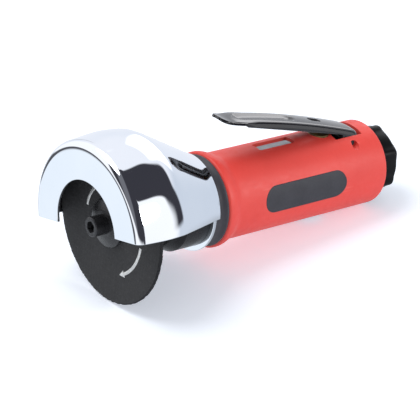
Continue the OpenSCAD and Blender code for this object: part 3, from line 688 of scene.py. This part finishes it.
screw = turned("wheel_screw_look", [
    (0.0, X_HEAD + SCREW_LEN), (2.4, X_HEAD + SCREW_LEN), (SCREW_R, X_HEAD + 17.4), (SCREW_R, X_HEAD),
    (HEAD_R, X_HEAD), (HEAD_R, X_HEAD - 6.3), (4.55, X_HEAD - 6.7), (4.1, X_HEAD - HEAD_H),
    (0.0, X_HEAD - HEAD_H)], 96, M["oxide"], 30)
cut(screw, prism("socket", hexagon(SOCKET_R, 30), X_HEAD - 8, SOCKET_FLOOR, along_x))
soften(screw, 30, 0.18, 2, 50)
piece(screw, "spindle", "black_steel", "wheel_screw")
nose = turned("nose_look", [
    (SHAFT_HOLE_R, X_NOSE), (16.2, X_NOSE), (16.7, X_NOSE + 0.3), (19.4, X_NOSE + 4.7),
    (NOSE_R, X_NOSE + 5.4), (NOSE_R, X_COLLAR), (SPIGOT_R, X_COLLAR), (SPIGOT_R, X_SLEEVE + 8),
    (SPIGOT_BORE, X_SLEEVE + 8), (SPIGOT_BORE, X_COLLAR), (BEARING_R, X_COLLAR),
    (BEARING_R, X_NOSE + 4), (SHAFT_HOLE_R, X_NOSE + 4)], 192, M["nose"], 20)
piece(nose, "housing", "dark_alloy", "nose_housing")
collar = turned("collar_look", [(COLLAR_BORE, X_COLLAR), (19.9, X_COLLAR)]
                + arc(20.0, X_COLLAR + 0.4, 0.4, -60, 0, 4)
                + [(COLLAR_R, X_LIP - 3.2), (20.55, X_LIP - 2.5), (20.85, X_LIP - 1.9), (21.3, X_LIP - 1.3),
                   (21.65, X_LIP - 0.8), (COLLAR_FLANGE_R, X_LIP - 0.5), (COLLAR_FLANGE_R, X_LIP - 0.02),
                   (COLLAR_BORE, X_LIP - 0.02)], 192, M["collar"])
piece(collar, "housing", "collar_grey", "front_collar")

# Grip sleeve with its window, lever pocket, pin hole and badge recesses
BADGE_X, BADGE_Z, BADGE_L, BADGE_H = -69.8, 2.5, 50.0, 13.0
RECESS_R, RECESS_GAP = 20.05, 0.2
WINDOW_X = -76.0
LIP_ROUND, LIP_FLAT, LIP_SLOPE, LIP_STEPS, REAR_ROUND = 1.1, 1.9, 7.2, 24, 1.3
BUSH_HOLE_R, PLUG_HOLE_R, PIN_HOLE_R, PIN_MOUTH_R, PIN_MOUTH_Y = 5.2, 6.3, 1.52, 1.9, 10.3
POCKET_FRONT, POCKET_REAR, POCKET_HALF = X_PIVOT - 9, X_PIVOT + 7.77, 8
SLEEVE_STEPS = 288


def sleeve_outline():
    pts = [(SLEEVE_BORE, X_LIP)]
    pts += arc(LIP_R - LIP_ROUND, X_LIP + LIP_ROUND, LIP_ROUND, -90, 0)
    for i in range(1, LIP_STEPS + 1):
        t = i / LIP_STEPS
        pts.append((SLEEVE_R + (LIP_R - SLEEVE_R) * (1 + math.cos(math.pi * t)) / 2,
                    X_LIP + LIP_FLAT + LIP_SLOPE * t))
    pts += [(SLEEVE_R, X_SLEEVE + 12 + 8.5 * i) for i in range(10)]
    pts += arc(SLEEVE_R - REAR_ROUND, X_SLEEVE_REAR - REAR_ROUND, REAR_ROUND, 0, 90)
    pts.append((SLEEVE_BORE, X_SLEEVE_REAR))
    return pts


sleeve = turned("grip_look", sleeve_outline(), SLEEVE_STEPS, M["red"])
pocket = [(POCKET_FRONT, -POCKET_HALF), (POCKET_REAR, -POCKET_HALF),
          (POCKET_REAR, POCKET_HALF), (POCKET_FRONT, POCKET_HALF)]
pin_mouth = circle(PIN_MOUTH_R, 32, X_PIVOT, Z_PIVOT)
cuts = [prism("window", rounded(21.6, 7.0, 1.0, WINDOW_X), 5, 30, along_z),
        prism("bush", circle(BUSH_HOLE_R, 48, X_VALVE), 5, 30, along_z),
        prism("plug", circle(PLUG_HOLE_R, 48, X_VALVE), -30, -5, along_z),
        prism("pocket", pocket, 0, 30, along_z),
        prism("pin", circle(PIN_HOLE_R, 32, X_PIVOT, Z_PIVOT), -30, 30, along_y),
        prism("mouth_a", pin_mouth, PIN_MOUTH_Y, 30, along_y),
        prism("mouth_b", pin_mouth, -30, -PIN_MOUTH_Y, along_y)]
for side in (-1, 1):
    plan = stadium(BADGE_L + RECESS_GAP, BADGE_H + RECESS_GAP, 24, BADGE_X, BADGE_Z)
    recess = prism("recess", plan, side * 10, side * 30, along_y)
    core = turned("core", [(0.0, X_SLEEVE), (RECESS_R, X_SLEEVE), (RECESS_R, X_SLEEVE_REAR),
                           (0.0, X_SLEEVE_REAR)], SLEEVE_STEPS)
    cut(recess, core)
    cuts.append(recess)
cut(sleeve, *cuts)
soften(sleeve, 32, 0.3, 2, 40)
# Kept out of mirror-like reflections, so that the guard shows the room
sleeve.visible_glossy = False
piece(sleeve, "housing", "grip_red", "grip_sleeve")

# Land of the motor housing that fills the sleeve's window
LAND_R, LAND_BORE, LAND_REACH = 19.2, 17.9, 20
land = turned("window_land", [(LAND_BORE, WINDOW_X - LAND_REACH), (LAND_R, WINDOW_X - LAND_REACH),
                              (LAND_R, WINDOW_X + LAND_REACH), (LAND_BORE, WINDOW_X + LAND_REACH)],
              SLEEVE_STEPS, M["land"])
cut(land, prism("land_plan", rounded(21.4, 6.8, 0.9, WINDOW_X), 5, 30, along_z), mode="INTERSECT")
soften(land, 32, 0.25, 2, 40)
piece(land, "housing", "aluminium")

# Badges, by rings of (inset, rise over the sleeve)
BADGE_STEPS = 26
BADGE_RINGS = [(0.0, -0.75), (0.0, 0.02), (0.06, 0.1), (0.18, 0.15)]
BADGE_RINGS += [(0.4 + 0.76 * k, 0.15) for k in range(9)]


def make_badges():
    """Bare curved plates in the sleeve's sides."""
    verts, faces = [], []
    n = 2 * (BADGE_STEPS + 1)
    for side in (-1, 1):
        base = len(verts)
        for inset, rise in BADGE_RINGS:
            for x, z in stadium(BADGE_L - 2 * inset, BADGE_H - 2 * inset, BADGE_STEPS, BADGE_X, BADGE_Z):
                r = SLEEVE_R + rise
                verts.append((x, side * math.sqrt(r * r - z * z), z))
        faces += [tuple(base + k for k in f) for f in grid_faces(len(BADGE_RINGS), n, True)]
        last = base + (len(BADGE_RINGS) - 1) * n
        for i in range(BADGE_STEPS):
            faces.append((last + i, last + i + 1, last + n - 2 - i, last + n - 1 - i))
        faces.append(tuple(base + k for k in range(n)))
    return from_data("badge_look", verts, faces, M["badge"], 35)


piece(make_badges(), "housing", "badge_grey", "side_badges")

# Throttle lever: an arched sheet with flanges, drawn level about its pin and set at its slope
LEVER_HALF, LEVER_T, SHEET_T = 7.5, 1.5, 1.3
CREST_X, CREST_TOP, BOW_R = -28.085, 6.1, 480.4
CROWN, TIP_CURL, TONGUE_TAPER = 0.8, 0.022, 1.8
FLANGE_END, TONGUE_END, TIP_END, TAIL = -68.5, -74.5, -81.4, 6.0
DISH_X, DISH_HALF, DISH_R, DISH_DEPTH = -53, 15, 4.2, 1.2
EAR_R, EAR_FRONT, FLANGE_LOW, FLANGE_FALL, FLANGE_STEP = 3.4, -5, 3.0, 0.7, 0.9
TIP_ROUND, TAIL_ROUND, TONGUE_ROUND, SIDE_ROUND = 3.4, 3.0, 0.7, 1.8
SLOT_X, SLOT_L, SLOT_W, LEVER_PIN_R = -19.8, 8, 4, 1.56
# A place beside the sheet, clear of its crown and dish
OUTSIDE = 99
# Steps along the sheet and their weights, which add up to 9
BLUR = ((-3, 1), (-1.5, 2), (0, 3), (1.5, 2), (3, 1))


def lever_place(u, y, w):
    c, s = math.cos(LEVER_SLOPE), math.sin(LEVER_SLOPE)
    return (X_PIVOT + u * c + w * s, y, Z_PIVOT - u * s + w * c)


def sheet_line(u):
    """Height of the sheet's arch, which runs on into a tongue with a lifted tip."""
    return CREST_TOP - (u - CREST_X) ** 2 / (2 * BOW_R) + TIP_CURL * max(TONGUE_END - u, 0.0) ** 2


def lever_top(u, y):
    """Height of the sheet's top, with its crown, its dish and the droop of its tail."""
    line = sum(w * sheet_line(u + d) for d, w in BLUR) / 9
    crown = CROWN * (1 - min(abs(y) / LEVER_HALF, 1.0) ** 2) * ease((u - TIP_END) / 16)
    reach = math.hypot(max(abs(u - DISH_X) - DISH_HALF, 0.0), y) / DISH_R
    dish = DISH_DEPTH * max(1 - reach * reach, 0.0) ** 1.3
    return line + crown - dish - max((u - 1) / 5, 0.0) ** 2


def lever_bottom(u):
    """Lower edge of a side flange, with the ear round the pin."""
    if abs(u) <= EAR_R:
        return -math.sqrt(EAR_R ** 2 - u * u)
    if u > EAR_R:
        return FLANGE_LOW * (u - EAR_R) / (TAIL - EAR_R)
    if u > EAR_FRONT:
        return FLANGE_LOW * (-EAR_R - u) / (-EAR_R - EAR_FRONT)
    run = FLANGE_LOW - FLANGE_FALL * (u - EAR_FRONT) / (FLANGE_END + 6.6)
    plate = lever_top(u, OUTSIDE) - LEVER_T
    return plate + (run - plate) * ease((u - FLANGE_END) / FLANGE_STEP)


def lever_stations():
    """Places along the lever, closest at its tip and where its outline changes."""
    stations, u = [], TIP_END
    while u < TAIL:
        stations.append(u)
        fine = u < TIP_END + 4 or abs(u - FLANGE_END - 1) < 3 or u > -6
        u += 0.05 if u < TIP_END + 0.6 else 0.3 if fine else 0.7
    return stations + [TAIL]


def make_lever():
    side_steps, arc_steps, top_steps = 8, 8, 36
    stations, verts = lever_stations(), []
    for u in stations:
        half = LEVER_HALF - TONGUE_TAPER * ease((FLANGE_END + 2 - u) / 13)
        for gap, r in ((u - TIP_END, TIP_ROUND), (TAIL - u, TAIL_ROUND)):
            if gap < r:
                half -= r - math.sqrt(max(r * r - (r - gap) ** 2, 0.0))
        rc = TONGUE_ROUND + SIDE_ROUND * ease((u - FLANGE_END) / 7)
        flat = max(half - rc, 0.2)
        top = lever_top(u, flat)
        low = min(lever_bottom(u), top - max(rc + 0.05, LEVER_T))
        ring = [(half, low + (top - rc - low) * i / side_steps) for i in range(side_steps)]
        for i in range(arc_steps + 1):
            a = math.pi / 2 * i / arc_steps
            ring.append((half - rc + rc * math.cos(a), top - rc + rc * math.sin(a)))
        tops = [flat - 2 * flat * i / top_steps for i in range(1, top_steps)]
        full = [(-y, w) for y, w in ring] + [(-y, lever_top(u, y)) for y in tops] + list(reversed(ring))
        verts += [lever_place(u, y, w) for y, w in full]
    obj = from_data("lever_look", verts, grid_faces(len(stations), len(full)), M["lever"])
    sheet = obj.modifiers.new("sheet", "SOLIDIFY")
    sheet.thickness = SHEET_T * MM
    sheet.offset = -1
    bpy.context.view_layer.update()
    bake(obj)
    return obj


lever = make_lever()
cut(lever, prism("slot", stadium(SLOT_L, SLOT_W, 14, SLOT_X), -2, 12, lever_place),
    prism("pin", circle(LEVER_PIN_R, 32), -12, 12, lambda u, v, w: lever_place(u, w, v)))
soften(lever, 38, 0.18, 2, 50)
piece(lever, "lever", "lever_black", "throttle_lever")

# Valve spring, a coil between the ends of the solid's spring
SPRING_TURNS, SPRING_R, WIRE_R, VALVE_TRAVEL = 7, 3.2, 0.45, 3.0


def make_spring(low, high):
    steps, sides = 36 * SPRING_TURNS, 10
    verts = []
    for i in range(steps + 1):
        a = 2 * math.pi * SPRING_TURNS * i / steps
        z = low + WIRE_R + (high - low - 2 * WIRE_R) * i / steps
        for k in range(sides):
            b = 2 * math.pi * k / sides
            r = SPRING_R + WIRE_R * math.cos(b)
            verts.append((X_VALVE + r * math.cos(a), r * math.sin(a), z + WIRE_R * math.sin(b)))
    ends = [tuple(reversed(range(sides))), tuple(steps * sides + k for k in range(sides))]
    return from_data("spring_look", verts, grid_faces(steps + 1, sides, True) + ends, M["steel"], 40)


spring_low, spring_high = (corner[2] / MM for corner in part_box("valve_spring"))
spring = make_spring(spring_low, spring_high)
piece(spring, "housing", "steel", "valve_spring")
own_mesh(spring)

# Exhaust deflector: a lobed cap with vents round the inlet
CAP_R, CAP_CORE, LOBE_R, X_CAP, X_CAP_REAR = 17.2, 15.8, 3.0, -18.0, -6.5
CAP_STEPS, CAP_BLUR, CAP_ROUND = 288, 3.2, 2
CAP_INSIDE, CAP_HUB, CAP_BORE, CAP_FLOOR = 13.8, 10.75, 9.56, X_CAP_REAR - 2
VENTS, VENT_R, VENT_AT = 12, 1.1, 12.27


def lobed(a):
    """Radius of the cap at an angle in degrees, with a lobe every 60."""
    sway = math.radians((a + 30) % 60 - 30)
    off = (CAP_R - LOBE_R) * math.sin(sway)
    if abs(off) >= LOBE_R:
        return CAP_CORE
    return max(CAP_CORE, (CAP_R - LOBE_R) * math.cos(sway) + math.sqrt(LOBE_R ** 2 - off * off))


def make_cap():
    raw = [lobed(360 * i / CAP_STEPS) for i in range(CAP_STEPS)]
    weights = [(k, math.exp(-0.5 * (k / CAP_BLUR) ** 2)) for k in range(-9, 10)]
    total = sum(w for _, w in weights)
    verts = []
    for i in range(CAP_STEPS):
        a = 2 * math.pi * i / CAP_STEPS
        r = sum(w * raw[(i + k) % CAP_STEPS] for k, w in weights) / total
        ring = [(CAP_INSIDE, X_CAP), (r - 0.5, X_CAP), (r - 0.1, X_CAP + 0.15), (r, X_CAP + 0.6),
                (r, X_CAP_REAR - 4), (r, X_CAP_REAR - CAP_ROUND)]
        ring += arc(r - CAP_ROUND, X_CAP_REAR - CAP_ROUND, CAP_ROUND, 0, 90)[1:]
        ring += [(12.2, X_CAP_REAR), (10.3, X_CAP_REAR), (9.8, X_CAP_REAR - 0.3),
                 (CAP_BORE, X_CAP_REAR - 0.6), (CAP_BORE, X_CAP), (CAP_HUB, X_CAP),
                 (CAP_HUB, CAP_FLOOR), (CAP_INSIDE, CAP_FLOOR)]
        verts += [(x, -q * math.sin(a), q * math.cos(a)) for q, x in ring]
    return from_data("cap_look", verts, hoop_faces(CAP_STEPS, len(ring)), M["cap"], 35)


cap = make_cap()
vents = []
for i in range(VENTS):
    a = math.radians(360 / VENTS * i)
    plan = circle(VENT_R, 24, -VENT_AT * math.sin(a), VENT_AT * math.cos(a))
    vents.append(prism("vent", plan, X_CAP_REAR - 3, X_CAP_REAR + 2, along_x))
cut(cap, *vents)
cap.data.set_sharp_from_angle(angle=math.radians(35))
piece(cap, "deflector", "cap_black", "exhaust_deflector")

# Air inlet: a hexagon on a round hub, with a threaded hole
INLET_FLATS, INLET_HEX_X, HUB_R, HUB_X = 16, -4.7, 9.48, -18.6
THREAD_R, GROOVE_R, THREAD_PITCH, THREAD_TURNS, HOLE_X = 5.66, 6.12, 1.34, 9, -12.95
inlet = prism("inlet_look", hexagon(INLET_FLATS / math.sqrt(3), 30), INLET_HEX_X, 0.0, along_x)
inlet.data.materials.append(M["steel"])
cut(inlet, turned("inlet_bevel", [(0.0, -6.0), (9.6, -6.0), (9.6, -0.8), (8.1, 0.0), (0.0, 0.0)], 96),
    mode="INTERSECT")
cut(inlet, turned("inlet_hub", [(0.0, HUB_X), (HUB_R, HUB_X), (HUB_R, -5.0), (9.1, -4.5), (0.0, -4.5)], 96),
    mode="UNION")
hole = [(0.0, 0.6), (6.5, 0.6), (6.4, 0.0)]
for i in range(THREAD_TURNS):
    hole += [(THREAD_R, -0.74 - THREAD_PITCH * i), (GROOVE_R, -1.41 - THREAD_PITCH * i)]
hole += [(THREAD_R, HOLE_X), (0.0, HOLE_X)]
cut(inlet, turned("inlet_bore", hole, 72))
soften(inlet, 30, 0.2, 2, 40)
piece(inlet, "housing", "steel", "inlet_bushing")

# Camera at the photograph's angle
CAM_TURN, CAM_RISE, CAM_ROLL = math.radians(-40.61), math.radians(24.49), math.radians(5.62)
CAM_TARGET, CAM_DISTANCE = (-0.1093, 0, 0), 0.932


def aim(az, el, roll, target, distance):
    """Camera matrix that looks at a target from an azimuth and an elevation."""
    back = Vector((math.sin(az) * math.cos(el), -math.cos(az) * math.cos(el), math.sin(el)))
    right = Vector((math.cos(az), math.sin(az), 0))
    up = back.cross(right)
    r2 = right * math.cos(roll) + up * math.sin(roll)
    u2 = -right * math.sin(roll) + up * math.cos(roll)
    m = Matrix((r2, u2, back)).transposed().to_4x4()
    m.translation = Vector(target) + back * distance
    return m


cam_data = bpy.data.cameras.new("camera")
camera = bpy.data.objects.new("camera", cam_data)
SCENE.collection.objects.link(camera)
camera.matrix_world = aim(CAM_TURN, CAM_RISE, CAM_ROLL, CAM_TARGET, CAM_DISTANCE)
cam_data.sensor_width = 36
cam_data.lens = 171.43
cam_data.shift_x = -0.0098
cam_data.shift_y = -0.0320
cam_data.clip_start = 0.05
cam_data.clip_end = 20
SCENE.camera = camera

# Floor under the wheel's edge and the sleeve's rear end
FLOOR_TILT, FLOOR_HALF, FLOOR_GAP = math.radians(6.63), 2200, 0.0003
floor_mat = Build("pale_floor")
floor_mat.set(Specular_IOR_Level=0.0, Emission_Color=(0.91, 0.955, 1.09, 1), Emission_Strength=0.31)
floor_mat.colour(floor_mat.blend(floor_mat.noise(6), (0.87, 0.905, 0.95), (0.89, 0.925, 0.965)))
floor_mat.rough(floor_mat.span(floor_mat.noise(40), 0.4, 0.5))
floor = from_data("floor", [(-FLOOR_HALF, -FLOOR_HALF, 0), (FLOOR_HALF, -FLOOR_HALF, 0),
                            (FLOOR_HALF, FLOOR_HALF, 0), (-FLOOR_HALF, FLOOR_HALF, 0)], [(0, 1, 2, 3)],
                  floor_mat.mat)
floor.matrix_world = Matrix.Translation(((X_WHEEL + WHEEL_T) * MM, 0, -WHEEL_R * MM - FLOOR_GAP)) \
    @ Matrix.Rotation(-FLOOR_TILT, 4, "Y")
# Kept out of mirror-like reflections, which show the room's own floor
floor.visible_glossy = False

# Soft studio light
LIGHT_TARGET = (-0.1, 0, 0)


def area(name, place, size, power):
    """A round area light aimed at the tool."""
    data = bpy.data.lights.new(name, "AREA")
    data.shape = "DISK"
    data.size = size
    data.energy = power
    obj = bpy.data.objects.new(name, data)
    SCENE.collection.objects.link(obj)
    look = Vector(place) - Vector(LIGHT_TARGET)
    obj.matrix_world = Matrix.Translation(place) @ look.to_track_quat("Z", "Y").to_matrix().to_4x4()


area("key", (-0.7, 0.45, 1.15), 1.1, 11.5)
area("fill", (0.45, -0.9, 0.5), 0.42, 5.0)

# Room that polished surfaces show, and the plain light for the rest
DARK_ROOM, DIM_ROOM = (0.046, 0.045, 0.056), (0.18, 0.18, 0.20)
FAR_WALL, SIDE_WALL, CEILING = (0.93, 0.955, 1.02), (0.70, 0.755, 0.84), (1.0, 1.01, 1.06)
BRIGHT_WALL, PANEL = (1.14, 1.14, 1.16), (3.4, 3.4, 3.5)
SHADED_FLOOR, LIT_FLOOR = (0.52, 0.55, 0.60), (0.98, 1.04, 1.10)
PLAIN_LIGHT, PLAIN_STRENGTH, BACKDROP = (0.93, 0.96, 1.0), 0.5, (0.97, 0.98, 1.0)
DEGREES = 57.2958


def studio():
    """World: plain light for lit surfaces, white for the camera, and a room for polished ones."""
    world = bpy.data.worlds.new("studio")
    SCENE.world = world
    world.use_nodes = True
    tree = world.node_tree
    tree.nodes.clear()

    def new(kind, **values):
        node = tree.nodes.new(kind)
        for key, value in values.items():
            setattr(node, key, value)
        return node

    def put(value, socket):
        if isinstance(value, (int, float)):
            socket.default_value = value
        elif isinstance(value, tuple):
            socket.default_value = (*value, 1)
        else:
            tree.links.new(value, socket)

    def calc(kind, a, b=0.0):
        node = new("ShaderNodeMath", operation=kind)
        put(a, node.inputs[0])
        put(b, node.inputs[1])
        return node.outputs[0]

    def ramp(value, start, end, low=0.0, high=1.0):
        node = new("ShaderNodeMapRange", interpolation_type="SMOOTHSTEP")
        put(value, node.inputs["Value"])
        for key, v in (("From Min", start), ("From Max", end), ("To Min", low), ("To Max", high)):
            put(v, node.inputs[key])
        return node.outputs["Result"]

    def within(value, a, b, c, d):
        """Rises from a to b and falls from c to d."""
        return calc("MULTIPLY", ramp(value, a, b), ramp(value, c, d, 1.0, 0.0))

    def tint(factor, a, b):
        node = new("ShaderNodeMix", data_type="RGBA")
        put(factor, node.inputs["Factor"])
        ends = [x for x in node.inputs if x.type == "RGBA"]
        put(a, ends[0])
        put(b, ends[1])
        return [x for x in node.outputs if x.type == "RGBA"][0]

    # Direction as its turn from +X towards the viewer and its rise, both in degrees
    way = new("ShaderNodeSeparateXYZ")
    tree.links.new(new("ShaderNodeTexCoord").outputs["Generated"], way.inputs[0])
    x, y, z = way.outputs
    turn = calc("MULTIPLY", calc("ARCTAN2", calc("MULTIPLY", y, -1.0), x), DEGREES)
    turn = calc("ADD", turn, calc("MULTIPLY", calc("LESS_THAN", turn, -90.0), 360.0))
    rise = calc("MULTIPLY", calc("ARCSINE", z), DEGREES)
    # Unlit room behind the camera
    low = calc("ADD", ramp(turn, 66, 84, -30.0, -3.0), ramp(turn, 145, 165, 0.0, 3.0))
    side = calc("SUBTRACT", turn, ramp(rise, 17, 27, 61.0, 53.0))
    room = calc("MULTIPLY", ramp(side, -2, 2), ramp(turn, 206, 211, 1.0, 0.0))
    room = calc("MULTIPLY", room, ramp(calc("SUBTRACT", rise, low), -4, 4))
    # Dark opening beside it, which widens upwards
    near = calc("SUBTRACT", turn, ramp(rise, 20, 44, 16.0, -3.0))
    far = calc("SUBTRACT", turn, ramp(rise, 21, 52, 28.0, 60.0))
    opening = calc("MULTIPLY", ramp(near, -2, 2.5), ramp(far, -2, 2, 1.0, 0.0))
    opening = calc("MULTIPLY", opening, ramp(rise, -9, -3))
    # Gap under the far wall, and the lamp's rim
    gap = calc("MULTIPLY", within(rise, -22.8, -21.4, -13, -9), within(turn, 180, 190, 262, 285))
    line = calc("SUBTRACT", turn, calc("SUBTRACT", calc("MULTIPLY", rise, 0.45), 72.7))
    rim = calc("MULTIPLY", within(line, -7, -5, -3, -1), within(rise, 0, 6, 24, 32))
    edges = calc("MAXIMUM", calc("MULTIPLY", gap, 0.95), calc("MULTIPLY", rim, 0.65))
    dark = calc("MAXIMUM", calc("MAXIMUM", room, opening), edges)
    dim = tint(within(turn, 140, 156, 188, 195), DARK_ROOM, DIM_ROOM)
    # Pale walls and ceiling, with a lit panel that shows in the lever's dish, over the floor
    wall = tint(ramp(turn, -30, 4), FAR_WALL, SIDE_WALL)
    wall = tint(ramp(rise, 14, 34), wall, CEILING)
    wall = tint(ramp(turn, 24, 29), wall, BRIGHT_WALL)
    panel = calc("MULTIPLY", within(turn, -50, -42, -14, -6), within(rise, 13, 20, 38, 46))
    wall = tint(panel, wall, PANEL)
    ground = tint(ramp(turn, 70, 170), SHADED_FLOOR, LIT_FLOOR)
    pale = tint(ramp(rise, -24, -14), ground, wall)
    seen = tint(dark, pale, dim)
    # The camera sees a plain backdrop, polished surfaces the room, and all else the plain light
    path = new("ShaderNodeLightPath")
    plain = new("ShaderNodeBackground")
    put(PLAIN_LIGHT, plain.inputs["Color"])
    put(PLAIN_STRENGTH, plain.inputs["Strength"])
    mirror = new("ShaderNodeBackground")
    put(tint(path.outputs["Is Camera Ray"], seen, BACKDROP), mirror.inputs["Color"])
    sharp = calc("MAXIMUM", path.outputs["Is Camera Ray"], path.outputs["Is Glossy Ray"])
    mix = new("ShaderNodeMixShader")
    put(calc("MAXIMUM", sharp, path.outputs["Is Transmission Ray"]), mix.inputs[0])
    tree.links.new(plain.outputs[0], mix.inputs[1])
    tree.links.new(mirror.outputs[0], mix.inputs[2])
    tree.links.new(mix.outputs[0], new("ShaderNodeOutputWorld").inputs["Surface"])


studio()
